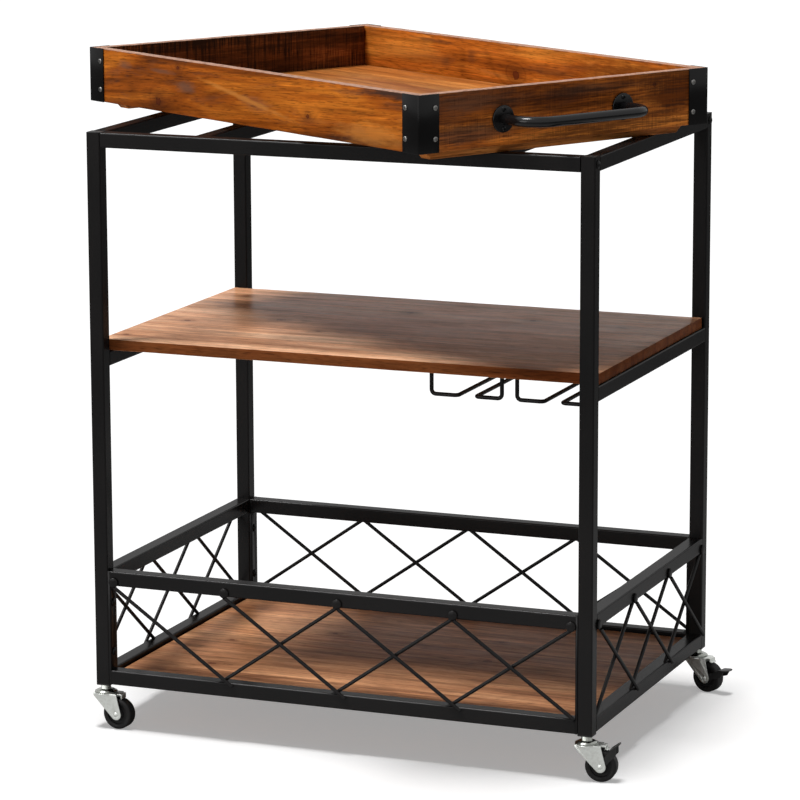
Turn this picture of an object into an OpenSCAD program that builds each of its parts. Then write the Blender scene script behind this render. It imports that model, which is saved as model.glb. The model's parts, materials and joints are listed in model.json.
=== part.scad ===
// Bar cart on casters: a welded tube frame with two wooden shelves, a lattice gallery
// around the lower shelf, a stemware rack and a loose wooden tray lying turned on top.
// Millimetres, +Z up, the floor at z = 0. X runs along the long side, -Y is the front.

/* [Frame] */
// Outer length of the frame, over the posts
frame_w = 710; // [560:5:860]
// Outer depth of the frame, over the posts
frame_d = 490; // [400:5:560]
// Length of a post, from its lower end to its top
post_len = 752; // [640:2:900]
// Side of the square tube
tube = 20; // [16:1:25]
// Wall of the square tube
tube_wall = 1.2; // [1:0.1:2]
// Corner radius of the square tube
tube_round = 2; // [1:0.5:3]
// Distance of each top cross bar from the middle of the frame
cross_at = 195; // [120:5:240]
// Slot left at each end of a long top rail
rail_slack = 0.5; // [0.2:0.1:0.9]

/* [Shelves] */
// Height of the middle shelf's underside above the lower end of the posts
shelf_up = 456; // [380:2:520]
// Thickness of the middle shelf
shelf_t = 15; // [10:1:22]
// How far the middle shelf's ends stay inside the posts' outer faces
shelf_end_in = 3; // [1:1:8]
// Gap between the middle shelf and each post
shelf_post_gap = 6; // [2:1:12]
// Corner radius of the middle shelf
shelf_round = 3; // [1:1:8]
// Thickness of the lower shelf
low_t = 12; // [9:1:16]
// Gap between the lower shelf and the bottom rails
low_gap = 3; // [1:0.5:5]
// Side of a square tab under the lower shelf
tab_side = 26; // [20:1:34]
// Thickness of a tab
tab_t = 2; // [1.5:0.5:3]

/* [Gallery] */
// Height of the gallery, from the underside of its bottom rail to its top
gallery_h = 158; // [120:2:200]
// Thickness of the upright plate at each end of a long gallery panel
plate_t = 3; // [2:0.5:4]
// Diameter of a lattice rod
rod_d = 5; // [4:0.5:6]
// Number of lattice bays on a long side
long_bays = 4; // [3:1:5]
// Number of lattice bays on an end
end_bays = 3; // [2:1:4]
// Distance of the outermost lattice joint from a long panel's end plates
long_joint_in = 6; // [5:1:17]
// Distance of the outermost lattice joint from an end panel's posts
end_joint_in = 4; // [3:1:12]
// First bay of the front panel that has a rising rod, counted from 0
front_first_rise = 1; // [0:1:2]
// Height above the bottom rail at which two rods cross
rod_cross = 4; // [2:0.5:6]
// How far a falling rod laps over the bottom rail's face
rod_lap = 4; // [3:0.5:6]
// Diameter of a lattice disc
disc_d = 13.5; // [12:0.5:18]
// Thickness of a lattice disc
disc_t = 3; // [2.5:0.5:5]
// Height of a disc's middle above the upper rail's lower edge
disc_up = 5; // [2:0.5:6]

/* [Stemware rack] */
// Diameter of the rack wire
wire_d = 5.5; // [4:0.5:6]
// Distance between the middles of the two rack units
rack_pitch = 119; // [112:1:130]
// Distance between a unit's two runners, middle to middle
runner_gap = 25; // [22:1:32]
// Distance between a unit's two legs, middle to middle
leg_gap = 98; // [84:1:104]
// Distance of the last unit's middle from the right shelf rail
rack_side = 59; // [56:1:80]
// Distance of the rack's front feet from the shelf's front edge
rack_in = 41; // [25:1:60]
// Depth of the runners' middle below the shelf
rack_drop = 35; // [26:1:44]
// Bend radius of the wire, at its middle
wire_bend = 6; // [6:1:10]
// Width of a rack strap
strap_w = 15; // [12:1:20]
// Thickness of a rack strap
strap_t = 2; // [1.5:0.5:3]

/* [Tray] */
// Length of the tray over its wooden walls
tray_l = 727; // [640:1:800]
// Width of the tray over its wooden walls
tray_w = 482; // [420:1:520]
// Height of the tray's walls
wall_h = 74; // [50:1:90]
// Thickness of the tray's walls
wall_t = 15; // [12:1:18]
// Thickness of the tray's floor
floor_t = 12; // [9:1:15]
// Height of the floor's underside above the walls' lower edge
floor_up = 5; // [0:1:10]
// Width of a batten under the tray
batten_w = 20; // [16:1:30]
// How far a batten reaches below the walls
batten_drop = 11; // [8:1:16]
// Distance of a batten from the tray's end
batten_in = 29; // [20:1:50]
// Distance of a batten's ends from the tray's long sides
batten_end = 26; // [18:1:40]
// Slope length at a batten's ends
batten_slope = 9; // [5:1:10]
// Angle by which the tray lies turned on the frame
tray_turn = 30; // [20:1:35]
// Middle of the tray from the middle of the frame, along the long side
tray_dx = -26; // [-30:1:30]
// Middle of the tray from the middle of the frame, front to back
tray_dy = 16; // [-20:1:20]
// Leg of a corner bracket
corner_leg = 33; // [26:1:40]
// Thickness of a corner bracket
corner_t = 1.5; // [1:0.5:2]
// Distance of a bracket's screws from the corner
corner_screw_in = 25; // [18:1:26]
// Distance between a bracket's two screws on one face
corner_screw_gap = 39; // [28:1:42]

/* [Handles] */
// Distance between a handle's two flanges
handle_span = 200; // [140:1:240]
// Diameter of the handle bar
handle_d = 13.5; // [10:0.5:14]
// Distance of the bar's middle from the tray's end
handle_out = 60; // [38:1:66]
// Bend radius of the bar, at its middle
handle_bend = 32; // [14:1:34]
// How far the handles sit from the middle of their walls towards the front
handle_aside = 6; // [-12:1:12]
// How far the handles sit below the middle of their walls
handle_down = 3; // [0:1:10]
// Diameter of a handle flange
flange_d = 35; // [32:1:40]
// Thickness of a handle flange
flange_t = 2.5; // [2:0.5:4]
// Distance of a flange's screws from its middle
flange_screw = 12.5; // [11:0.5:13]

/* [Casters] */
// Diameter of a wheel
wheel_d = 42; // [36:1:50]
// Width of a wheel
wheel_w = 16; // [12:1:18]
// Distance of the axle behind the swivel axis
trail = 20; // [16:1:24]
// Width of a running clearance beside a brake arm
arm_air = 0.3; // [0.2:0.05:0.5]
// Sheet thickness of a fork
fork_t = 1.5; // [1.2:0.1:2]
// Diameter of an axle rivet
axle_d = 5; // [4:0.5:6]
// Diameter of a caster's threaded stem
stem_d = 8; // [7:1:8]
// Clearance of a running fit, on the radius
run_fit = 0.05; // [0.02:0.01:0.08]
// Air between the roof of a fork and the wheel
roof_air = 5; // [3.5:0.5:7]
// Diameter of a ball in the swivel's race
ball_d = 3; // [2:0.5:3]
// Number of balls in a race
balls = 10; // [6:1:12]
// Swivel angle of the front left caster at rest
turn_fl = -3; // [-30:1:30]
// Swivel angle of the front right caster at rest
turn_fr = 6; // [-30:1:30]
// Swivel angle of the back left caster at rest
turn_bl = 8; // [-30:1:30]
// Swivel angle of the back right caster at rest
turn_br = -16; // [-30:1:30]
// Angle by which a brake lever swings down
brake_swing = 30; // [20:1:34]
// Sheet thickness of a brake lever's pedal
pedal_t = 1.6; // [1.2:0.1:2]
// Sheet thickness of a brake lever's arms
arm_t = 1; // [0.8:0.1:1.5]

/* [Hidden] */
$fn = 48;

eps = 0.01;
air = 0.3;
layer_gap = 0.05;
STEEL = [0.10, 0.095, 0.10];
WOOD = [0.62, 0.36, 0.17];
DARK_WOOD = [0.36, 0.22, 0.13];
ZINC = [0.74, 0.76, 0.74];
RUBBER = [0.06, 0.06, 0.06];
SCREW = [0.60, 0.60, 0.60];

// frame
tube_in = tube - 2*tube_wall;
half_w = frame_w/2;
half_d = frame_d/2;
post_x = half_w - tube/2;
post_y = half_d - tube/2;
bay_w = frame_w - 2*tube;
bay_d = frame_d - 2*tube;

// casters, from the floor upwards
wheel_r = wheel_d/2;
roof_z = wheel_d + roof_air;
roof_t = 2;
race_z = roof_z + roof_t + air;
race_h = 4.2;
nut_h = 6.5;
insert_rim = 2;
post_z = race_z + race_h + nut_h + insert_rim;

// heights
frame_top = post_z + post_len;
shelf_z = post_z + shelf_up;
gallery_top = post_z + gallery_h;
open_low = post_z + tube;
open_high = gallery_top - tube;
low_z = post_z + tab_t;

// the long gallery panels sit between plates on the posts
panel_w = bay_w - 2*plate_t;

// bolts
bolt_d = 6;
bolt_play = 0.2;
bolt_head_d = 11;
bolt_head_h = 3;
top_bolt_z = frame_top - tube/2;
panel_bolt_low = post_z + 45;
panel_bolt_high = post_z + 113;
plug_len = 12;

// wood screws
screw_d = 4;
screw_play = 0.2;
screw_head_d = 8;
screw_head_h = 2;
shelf_screw_bite = 9;
shelf_screw_y = [-150, 0, 150];
low_screw_bite = 8;
tab_long_x = 200;
tab_end_y = 110;

// middle shelf
shelf_l = frame_w - 2*shelf_end_in;
shelf_d = frame_d - 2*tube - 2*shelf_post_gap;

// stemware rack
rack_y = shelf_d/2 - rack_in;
rack_z = shelf_z - rack_drop;
rack_x = bay_w/2 - rack_side;
strap_over = 8;
strap_screw_in = leg_gap/2 - 14;

// tray, about its own middle, with z = 0 at the walls' lower edge
tray_x = 0;
tray_y = 0;
tray_z = frame_top + batten_drop;
cart_x = tray_x - tray_dx;
cart_y = tray_y - tray_dy;
floor_play = 0.3;
end_wall_w = tray_w - 2*wall_t;
batten_l = tray_w - 2*batten_end;
batten_h = batten_drop + floor_up;
batten_x = tray_l/2 - batten_in - batten_w/2;
corner_screw_d = 3;
corner_screw_bite = 10;
corner_head_d = 7;
corner_head_h = 1.5;
handle_z = wall_h/2 - handle_down;
handle_screw_d = 3.5;
handle_head_d = 6.5;

// swivel
race_r = 15.5;
race_rim = 1.5;
race_shoulder = 7;
ball_ring = 11;
ball_play = 0.1;
nut_d = 15;
insert_h = 20;
king_d = 7;
king_head_d = 13;
king_head_h = 1.8;

// fork, in its own frame: swivel axis at the origin, wheel behind it along +X
hub = [trail, wheel_r];
fork_gap = wheel_w + 2*(arm_t + 2*arm_air);
cheek_y = fork_gap/2;
cheek_front = 14;
cheek_back = 21;
cheek_skirt = 2;
cheek_end_r = 7.5;
tongue_x = 27;
tongue_w = 13;
lip_h = 5;
rivet_head_d = 9.5;
rivet_head_h = 1.6;
leaf_r = wheel_r + 2.8;
leaf_t = 1;
leaf_from = 77;
leaf_to = 67;

// brake lever, about the axle: pedal from pedal_at towards pedal_rise, arms down to the axle
pedal_at = (wheel_r + 5)*[cos(60), sin(60)];
pedal_rise = 36;
pedal_len = 14.5;
pedal_tip_r = 7;
pedal_over = 0.4;
pedal_flank = 9;
arm_y = wheel_w/2 + arm_air;
arm_foot = [wheel_r - 0.5, wheel_r - 4.5];
arm_end_r = 5;
arm_neck_r = 4;

CORNERS = [[-1, -1], [1, -1], [-1, 1], [1, 1]];

// where the line from p touches the circle of radius r about c, on side s
function touch(p, c, r, s) =
    let (d = c - p, a = atan2(d.y, d.x), b = asin(r/norm(d)))
    p + sqrt(norm(d)*norm(d) - r*r)*[cos(a + s*b), sin(a + s*b)];

// ---------- shared shapes ----------

module cart() {
    translate([cart_x, cart_y, 0]) children();
}

module on_tray() {
    translate([tray_x, tray_y, tray_z]) rotate([0, 0, -tray_turn]) children();
}

module along_x() {
    rotate([0, 90, 0]) children();
}

module along_y() {
    rotate([-90, 0, 0]) children();
}

module rounded(w, h, r) {
    square([w, h - 2*r], center = true);
    square([w - 2*r, h], center = true);
    for (c = CORNERS) {
        translate([c.x*(w/2 - r), c.y*(h/2 - r)]) circle(r = r);
    }
}

module tube_bar(len) {
    linear_extrude(len) difference() {
        rounded(tube, tube, tube_round);
        square(tube_in, center = true);
    }
}

// tubes by the middle of their section
module bar_x(len) {
    translate([-len/2, 0, 0]) along_x() tube_bar(len);
}

module bar_y(len) {
    translate([0, -len/2, 0]) along_y() tube_bar(len);
}

// a screw along +Z with its head below z = 0
module screw(d, len, head_d, head_h) {
    cylinder(d = d, h = len);
    intersection() {
        translate([0, 0, head_d/2 - head_h]) sphere(d = head_d);
        translate([0, 0, -head_h]) cylinder(d = head_d, h = head_h);
    }
}

module bolt(len) {
    cylinder(d = bolt_d, h = len);
    rotate_extrude() intersection() {
        translate([0, bolt_head_d*0.75 - bolt_head_h]) circle(d = 1.5*bolt_head_d);
        translate([0, -bolt_head_h]) square([bolt_head_d/2, bolt_head_h]);
    }
}

// ---------- frame ----------

module post(sx, sy) {
    color(STEEL) cart() difference() {
        translate([sx*post_x, sy*post_y, post_z]) tube_bar(post_len);
        translate([sx*post_x, sy*post_y, top_bolt_z]) along_x()
            cylinder(d = bolt_d + bolt_play, h = 2*tube, center = true);
        for (z = [panel_bolt_low, panel_bolt_high]) {
            translate([sx*(post_x - tube/2), sy*post_y, z]) along_x()
                cylinder(d = bolt_d + bolt_play, h = tube, center = true);
        }
    }
}

module post_front_left() post(-1, -1);
module post_front_right() post(1, -1);
module post_back_left() post(-1, 1);
module post_back_right() post(1, 1);

module post_caps() {
    cap_h = 5;
    color(STEEL) cart() for (c = CORNERS) {
        translate([c.x*post_x, c.y*post_y, frame_top - cap_h])
            linear_extrude(cap_h) square(tube_in, center = true);
    }
}

module end_rails(z) {
    color(STEEL) cart() for (s = [-1, 1]) {
        translate([s*post_x, 0, z]) bar_y(bay_d);
    }
}

module top_end_rails() end_rails(frame_top - tube/2);
module gallery_end_rails() end_rails(gallery_top - tube/2);
module bottom_end_rails() end_rails(post_z + tube/2);

module shelf_rails() {
    difference() {
        end_rails(shelf_z - tube/2);
        shelf_screw_places() translate([0, 0, -eps])
            cylinder(d = screw_d + screw_play, h = tube + 2*eps);
    }
}

module top_rail(sy) {
    color(STEEL) cart() translate([0, sy*post_y, frame_top - tube/2])
        bar_x(bay_w - 2*rail_slack);
}

module top_rail_front() top_rail(-1);
module top_rail_back() top_rail(1);

module rail_plugs() {
    color(STEEL) cart() for (c = CORNERS) {
        translate([c.x*(bay_w/2 - rail_slack - plug_len/2), c.y*post_y, top_bolt_z])
            along_x() difference() {
                cube([tube_in, tube_in, plug_len], center = true);
                cylinder(d = bolt_d + bolt_play, h = plug_len + 1, center = true);
            }
    }
}

module cross_bar(sx) {
    color(STEEL) cart() translate([sx*cross_at, 0, frame_top - tube/2]) bar_y(bay_d);
}

module cross_bar_left() cross_bar(-1);
module cross_bar_right() cross_bar(1);

module panel_rail(sy, z) {
    color(STEEL) cart() translate([0, sy*post_y, z]) bar_x(panel_w);
}

module gallery_rail_front() panel_rail(-1, gallery_top - tube/2);
module gallery_rail_back() panel_rail(1, gallery_top - tube/2);
module bottom_rail_front() panel_rail(-1, post_z + tube/2);
module bottom_rail_back() panel_rail(1, post_z + tube/2);

module gallery_plates() {
    color(STEEL) cart() for (c = CORNERS) {
        difference() {
            translate([c.x*(bay_w/2 - plate_t/2), c.y*post_y, post_z + gallery_h/2])
                cube([plate_t, tube, gallery_h], center = true);
            for (z = [panel_bolt_low, panel_bolt_high]) {
                translate([c.x*bay_w/2, c.y*post_y, z]) along_x()
                    cylinder(d = bolt_d + bolt_play, h = 3*plate_t, center = true);
            }
        }
    }
}

module frame_bolts() {
    top_len = tube + rail_slack + plug_len;
    panel_len = plate_t + tube_wall + 8;
    color(STEEL) cart() for (c = CORNERS) {
        // long top rails, from outside the posts
        translate([c.x*half_w, c.y*post_y, top_bolt_z])
            rotate([0, -90*c.x, 0]) bolt(top_len);
        // gallery panels, from inside
        for (z = [panel_bolt_low, panel_bolt_high]) {
            translate([c.x*(bay_w/2 - plate_t), c.y*post_y, z])
                rotate([0, 90*c.x, 0]) bolt(panel_len);
        }
    }
}

// ---------- lattice ----------

// joints' places along a panel
function joints(span, joint_in, bays) =
    let (first = -span/2 + joint_in, step = (span - 2*joint_in)/bays)
    [for (i = [0:bays]) first + i*step];

module rod(a, b) {
    d = b - a;
    translate([a.x, 0, a.y]) rotate([0, atan2(d.x, d.y), 0]) cylinder(d = rod_d, h = norm(d), $fn = 24);
}

module disc(x) {
    translate([x, 0, open_high + disc_up]) along_y()
        translate([0, 0, -disc_t]) cylinder(d = disc_d, h = disc_t);
}

// a panel of crossing rods whose outer face is y = 0, seen from -Y:
// falling rods lie on the rails' faces, rising rods lie between the rails
module panel_rods(span, joint_in, bays, first_rise) {
    at = joints(span, joint_in, bays);
    step = at[1] - at[0];
    low = open_low + rod_cross;
    rise = open_high - low;
    for (i = [0:bays - 1]) {
        difference() {
            intersection() {
                translate([0, -rod_d/2, 0]) rod([at[i], open_high],
                    [at[i + 1] + step*(rod_cross + rod_lap)/rise, open_low - rod_lap]);
                translate([-span/2, -rod_d - 1, 0]) cube([span, rod_d + 2, 2*open_high]);
            }
            translate([0, -disc_t, 0]) disc(at[i]);
            disc(at[i]);
        }
    }
    for (i = [first_rise:bays - 1]) {
        intersection() {
            translate([0, rod_d/2 + layer_gap, 0]) rod(
                [at[i] - step*0.1, low - rise*0.1], [at[i + 1] + step*0.1, open_high + rise*0.1]);
            translate([-span/2, 0, open_low])
                cube([span, rod_d + 2*layer_gap, open_high - open_low]);
        }
    }
}

module panel_discs(span, joint_in, bays) {
    for (x = joints(span, joint_in, bays)) {
        disc(x);
    }
}

module on_side(turn, dist) {
    cart() rotate([0, 0, turn]) translate([0, -dist, 0]) children();
}

module lattice_front() {
    color(STEEL) on_side(0, half_d) panel_rods(panel_w, long_joint_in, long_bays, front_first_rise);
}

module lattice_back() {
    color(STEEL) on_side(180, half_d) panel_rods(panel_w, long_joint_in, long_bays, 0);
}

module lattice_right() {
    color(STEEL) on_side(90, half_w) panel_rods(bay_d, end_joint_in, end_bays, 0);
}

module lattice_left() {
    color(STEEL) on_side(-90, half_w) panel_rods(bay_d, end_joint_in, end_bays, 0);
}

module lattice_discs() {
    color(STEEL) {
        for (turn = [0, 180]) {
            on_side(turn, half_d) panel_discs(panel_w, long_joint_in, long_bays);
        }
        for (turn = [90, -90]) {
            on_side(turn, half_w) panel_discs(bay_d, end_joint_in, end_bays);
        }
    }
}

// ---------- shelves ----------

module shelf_screw_places() {
    cart() for (s = [-1, 1], y = shelf_screw_y) {
        translate([s*post_x, y, shelf_z - tube]) children();
    }
}

module middle_shelf() {
    color(WOOD) difference() {
        cart() translate([0, 0, shelf_z]) linear_extrude(shelf_t)
            rounded(shelf_l, shelf_d, shelf_round);
        shelf_screw_places() translate([0, 0, tube/2])
            cylinder(d = screw_d + screw_play, h = tube/2 + shelf_screw_bite);
        rack_screw_places() translate([0, 0, -eps])
            cylinder(d = screw_d + screw_play, h = strap_t + low_screw_bite);
    }
}

module tab_places() {
    cart() {
        for (sx = [-1, 1], sy = [-1, 1]) {
            translate([sx*tab_long_x, sy*(bay_d - tab_side)/2, post_z]) children();
            translate([sx*(bay_w - tab_side)/2, sy*tab_end_y, post_z]) children();
        }
    }
}

module lower_shelf() {
    color(DARK_WOOD) difference() {
        cart() translate([0, 0, low_z + low_t/2])
            cube([bay_w - 2*low_gap, bay_d - 2*low_gap, low_t], center = true);
        tab_places() cylinder(d = screw_d + screw_play, h = tab_t + low_screw_bite);
    }
}

module shelf_tabs() {
    color(STEEL) difference() {
        tab_places() translate([0, 0, tab_t/2]) cube([tab_side, tab_side, tab_t], center = true);
        tab_places() translate([0, 0, -eps]) cylinder(d = screw_d + screw_play, h = tab_t + 2*eps);
    }
}

module shelf_screws() {
    color(SCREW) {
        shelf_screw_places() screw(screw_d, tube + shelf_screw_bite, screw_head_d, screw_head_h);
        tab_places() screw(screw_d, tab_t + low_screw_bite, screw_head_d, screw_head_h);
        rack_screw_places() screw(screw_d, strap_t + low_screw_bite, screw_head_d, screw_head_h);
    }
}

// ---------- stemware rack ----------

// the bend that leaves [0, 0] along +X and ends along +Y, in the XY plane
module wire_elbow(d, r) {
    translate([0, r, 0]) rotate([0, 0, -90]) rotate_extrude(angle = 90) translate([r, 0]) circle(d = d);
}

// front end of one wire: leg, foot and the turn into the runner
module wire_end() {
    foot = (leg_gap - runner_gap)/2;
    translate([-leg_gap/2, -rack_y, 0]) {
        translate([0, 0, wire_bend]) cylinder(d = wire_d, h = rack_drop - strap_t - wire_bend);
        translate([wire_bend, 0, 0]) mirror([1, 0, 0]) rotate([90, 0, 0]) wire_elbow(wire_d, wire_bend);
        translate([wire_bend, 0, 0]) along_x() cylinder(d = wire_d, h = foot - 2*wire_bend);
        translate([foot - wire_bend, 0, 0]) wire_elbow(wire_d, wire_bend);
    }
}

module rack_wire() {
    wire_end();
    mirror([0, 1, 0]) wire_end();
    translate([-runner_gap/2, -rack_y + wire_bend, 0]) along_y()
        cylinder(d = wire_d, h = 2*(rack_y - wire_bend));
}

module stem_rack(x) {
    color(STEEL) cart() translate([x, 0, rack_z]) {
        rack_wire();
        mirror([1, 0, 0]) rack_wire();
    }
}

module stem_rack_left() stem_rack(rack_x - rack_pitch);
module stem_rack_right() stem_rack(rack_x);

module strap_places() {
    cart() for (x = [rack_x - rack_pitch, rack_x], sy = [-1, 1]) {
        translate([x, sy*rack_y, shelf_z - strap_t]) children();
    }
}

module rack_screw_places() {
    strap_places() for (s = [-1, 1]) {
        translate([s*strap_screw_in, 0, 0]) children();
    }
}

module rack_straps() {
    color(STEEL) difference() {
        strap_places() translate([0, 0, strap_t/2])
            cube([leg_gap + 2*strap_over, strap_w, strap_t], center = true);
        rack_screw_places() translate([0, 0, -eps])
            cylinder(d = screw_d + screw_play, h = strap_t + 2*eps);
    }
}

// ---------- tray ----------

module tray_floor() {
    color(WOOD) on_tray() translate([0, 0, floor_up + floor_t/2]) cube([
        tray_l - 2*wall_t - 2*floor_play, end_wall_w - 2*floor_play, floor_t], center = true);
}

module corner_screw_places() {
    for (c = CORNERS, sz = [-1, 1]) {
        z = wall_h/2 + sz*corner_screw_gap/2;
        // on the long side
        translate([c.x*(tray_l/2 - corner_screw_in), c.y*(tray_w/2 + corner_t), z])
            rotate([90*c.y, 0, 0]) children();
        // on the end
        translate([c.x*(tray_l/2 + corner_t), c.y*(tray_w/2 - corner_screw_in), z])
            rotate([0, -90*c.x, 0]) children();
    }
}

module handle_screw_places() {
    for (sx = [-1, 1], sy = [-1, 1], sz = [-1, 1]) {
        translate([
            sx*(tray_l/2 + flange_t), sy*handle_span/2 - handle_aside, handle_z + sz*flange_screw])
            rotate([0, -90*sx, 0]) children();
    }
}

module tray_screw_holes() {
    corner_screw_places() translate([0, 0, -eps])
        cylinder(d = corner_screw_d + screw_play, h = corner_t + corner_screw_bite + 1);
    handle_screw_places() translate([0, 0, -eps])
        cylinder(d = handle_screw_d + screw_play, h = flange_t + corner_screw_bite + 1);
}

module long_wall(sy) {
    color(WOOD) on_tray() difference() {
        translate([0, sy*(tray_w - wall_t)/2, wall_h/2]) cube([tray_l, wall_t, wall_h], center = true);
        tray_screw_holes();
    }
}

module end_wall(sx) {
    color(DARK_WOOD) on_tray() difference() {
        translate([sx*(tray_l - wall_t)/2, 0, wall_h/2])
            cube([wall_t, end_wall_w, wall_h], center = true);
        tray_screw_holes();
    }
}

module tray_wall_front() long_wall(-1);
module tray_wall_back() long_wall(1);
module tray_wall_left() end_wall(-1);
module tray_wall_right() end_wall(1);

module tray_battens() {
    color(WOOD) on_tray() for (s = [-1, 1]) {
        translate([s*batten_x - batten_w/2, 0, 0]) rotate([90, 0, 90]) linear_extrude(batten_w) polygon([
            [-batten_l/2, floor_up],
            [-batten_l/2, -batten_drop + batten_slope],
            [-batten_l/2 + batten_slope, -batten_drop],
            [batten_l/2 - batten_slope, -batten_drop],
            [batten_l/2, -batten_drop + batten_slope],
            [batten_l/2, floor_up]
        ]);
    }
}

module tray_corners() {
    color(STEEL) on_tray() difference() {
        for (c = CORNERS) {
            translate([c.x*(tray_l/2 + corner_t), c.y*(tray_w/2 + corner_t), 0])
                mirror([c.x > 0 ? 1 : 0, 0, 0]) mirror([0, c.y > 0 ? 1 : 0, 0]) linear_extrude(wall_h)
                    polygon([
                        [0, 0], [corner_leg, 0], [corner_leg, corner_t],
                        [corner_t, corner_t], [corner_t, corner_leg], [0, corner_leg]
                    ]);
        }
        corner_screw_places() translate([0, 0, -1])
            cylinder(d = corner_screw_d + screw_play, h = corner_t + 2);
    }
}

module corner_screws() {
    color(SCREW) on_tray() corner_screw_places()
        screw(corner_screw_d, corner_t + corner_screw_bite, corner_head_d, corner_head_h);
}

module handle(sx) {
    leg = handle_out - handle_bend;
    bar = handle_span - 2*handle_bend;
    color(STEEL) on_tray() difference() {
        translate([sx*tray_l/2, -handle_aside, handle_z]) mirror([sx < 0 ? 1 : 0, 0, 0]) {
            for (s = [0, 1]) mirror([0, s, 0]) translate([0, -handle_span/2, 0]) {
                along_x() cylinder(d = flange_d, h = flange_t);
                along_x() cylinder(d = handle_d, h = leg);
                translate([leg, 0, 0]) wire_elbow(handle_d, handle_bend);
            }
            translate([handle_out, -bar/2, 0]) along_y() cylinder(d = handle_d, h = bar);
        }
        handle_screw_places() translate([0, 0, -eps])
            cylinder(d = handle_screw_d + screw_play, h = flange_t + 2*eps);
    }
}

module tray_handle_left() handle(-1);
module tray_handle_right() handle(1);

module handle_screws() {
    color(SCREW) on_tray() handle_screw_places()
        screw(handle_screw_d, flange_t + corner_screw_bite, handle_head_d, corner_head_h);
}

// ---------- casters ----------

module caster_places() {
    cart() for (c = CORNERS) {
        translate([c.x*post_x, c.y*post_y, 0]) children();
    }
}

module at_caster(sx, sy, turn) {
    cart() translate([sx*post_x, sy*post_y, 0]) rotate([0, 0, turn]) children();
}

module caster_inserts() {
    color(RUBBER) caster_places() translate([0, 0, post_z]) difference() {
        union() {
            translate([0, 0, insert_h/2]) cube([tube_in, tube_in, insert_h], center = true);
            translate([0, 0, -insert_rim]) linear_extrude(insert_rim)
                rounded(tube, tube, tube_round);
        }
        translate([0, 0, -insert_rim - eps]) cylinder(d = stem_d + screw_play, h = 2*insert_h);
    }
}

module ball_groove() {
    rotate_extrude() translate([ball_ring, 0]) circle(d = ball_d + 2*ball_play);
}

// threaded stem with its nut and king pin, and the upper race
module caster_stems() {
    nut_z = race_z + race_h;
    head_z = roof_z - air - king_head_h;
    color(ZINC) caster_places() {
        translate([0, 0, nut_z]) cylinder(d = nut_d, h = nut_h, $fn = 6);
        translate([0, 0, nut_z]) cylinder(d = stem_d, h = nut_h + insert_rim + insert_h);
        translate([0, 0, head_z]) cylinder(d = king_d, h = nut_z - head_z + 1);
        translate([0, 0, head_z]) cylinder(d = king_head_d, h = king_head_h);
        difference() {
            translate([0, 0, race_z]) rotate_extrude() {
                square([race_r, race_rim]);
                square([race_r - race_shoulder, race_h]);
                intersection() {
                    translate([race_r - race_shoulder, race_h - race_shoulder]) circle(r = race_shoulder);
                    square([race_r, race_h]);
                }
            }
            translate([0, 0, race_z - air/2]) ball_groove();
        }
    }
}

module caster_balls() {
    color(ZINC) caster_places() for (i = [0:balls - 1]) {
        rotate([0, 0, i*360/balls]) translate([ball_ring, 0, race_z - air/2]) sphere(d = ball_d);
    }
}

module cheek_outline() {
    front = [-cheek_front, roof_z - cheek_skirt];
    back = [cheek_back, roof_z];
    difference() {
        union() {
            polygon([
                front,
                touch(front, hub, cheek_end_r, -1),
                hub,
                touch(back, hub, cheek_end_r, 1),
                back,
                [cheek_back, roof_z + eps],
                [-cheek_front, roof_z + eps]
            ]);
            translate(hub) circle(r = cheek_end_r);
        }
        translate(hub) circle(d = axle_d + 2*run_fit);
    }
}

module fork(braked) {
    color(ZINC) {
        // roof with its ball race, tongue and the lip at the tongue's end
        difference() {
            union() {
                translate([0, 0, roof_z]) linear_extrude(roof_t) {
                    circle(r = race_r);
                    translate([-cheek_front, -cheek_y - fork_t])
                        square([cheek_front + cheek_back, 2*(cheek_y + fork_t)]);
                    translate([0, -tongue_w/2]) square([tongue_x, tongue_w]);
                }
                translate([tongue_x - fork_t, -tongue_w/2, roof_z - lip_h])
                    cube([fork_t, tongue_w, lip_h + eps]);
            }
            translate([0, 0, roof_z - 1]) cylinder(d = king_d + 2*run_fit, h = roof_t + 2);
            translate([0, 0, race_z - air/2]) ball_groove();
            if (braked) {
                translate([hub.x, 0, hub.y]) along_y()
                    cylinder(r = leaf_r + leaf_t/2, h = tongue_w + 1, center = true);
            }
        }
        for (s = [-1, 1]) {
            translate([0, s*(cheek_y + fork_t/2), 0]) rotate([90, 0, 0])
                linear_extrude(fork_t, center = true) cheek_outline();
        }
        if (braked) {
            brake_leaf();
        }
    }
}

// the brake's leaf, curved over the tread
module brake_leaf() {
    far = 2*wheel_r;
    translate([hub.x, 0, hub.y]) rotate([90, 0, 0]) linear_extrude(tongue_w - 1, center = true)
        intersection() {
            difference() {
                circle(r = leaf_r + leaf_t);
                circle(r = leaf_r);
            }
            polygon([
                [0, 0], far*[cos(leaf_to), sin(leaf_to)], far*[cos(leaf_from), sin(leaf_from)]
            ]);
        }
}

module axle() {
    color(ZINC) translate([hub.x, 0, hub.y]) {
        along_y() cylinder(d = axle_d, h = fork_gap + 2*fork_t, center = true);
        for (s = [0, 1]) {
            mirror([0, s, 0]) translate([0, cheek_y + fork_t, 0]) rotate([90, 0, 0])
                screw(axle_d, rivet_head_h, rivet_head_d, rivet_head_h);
        }
    }
}

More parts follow.
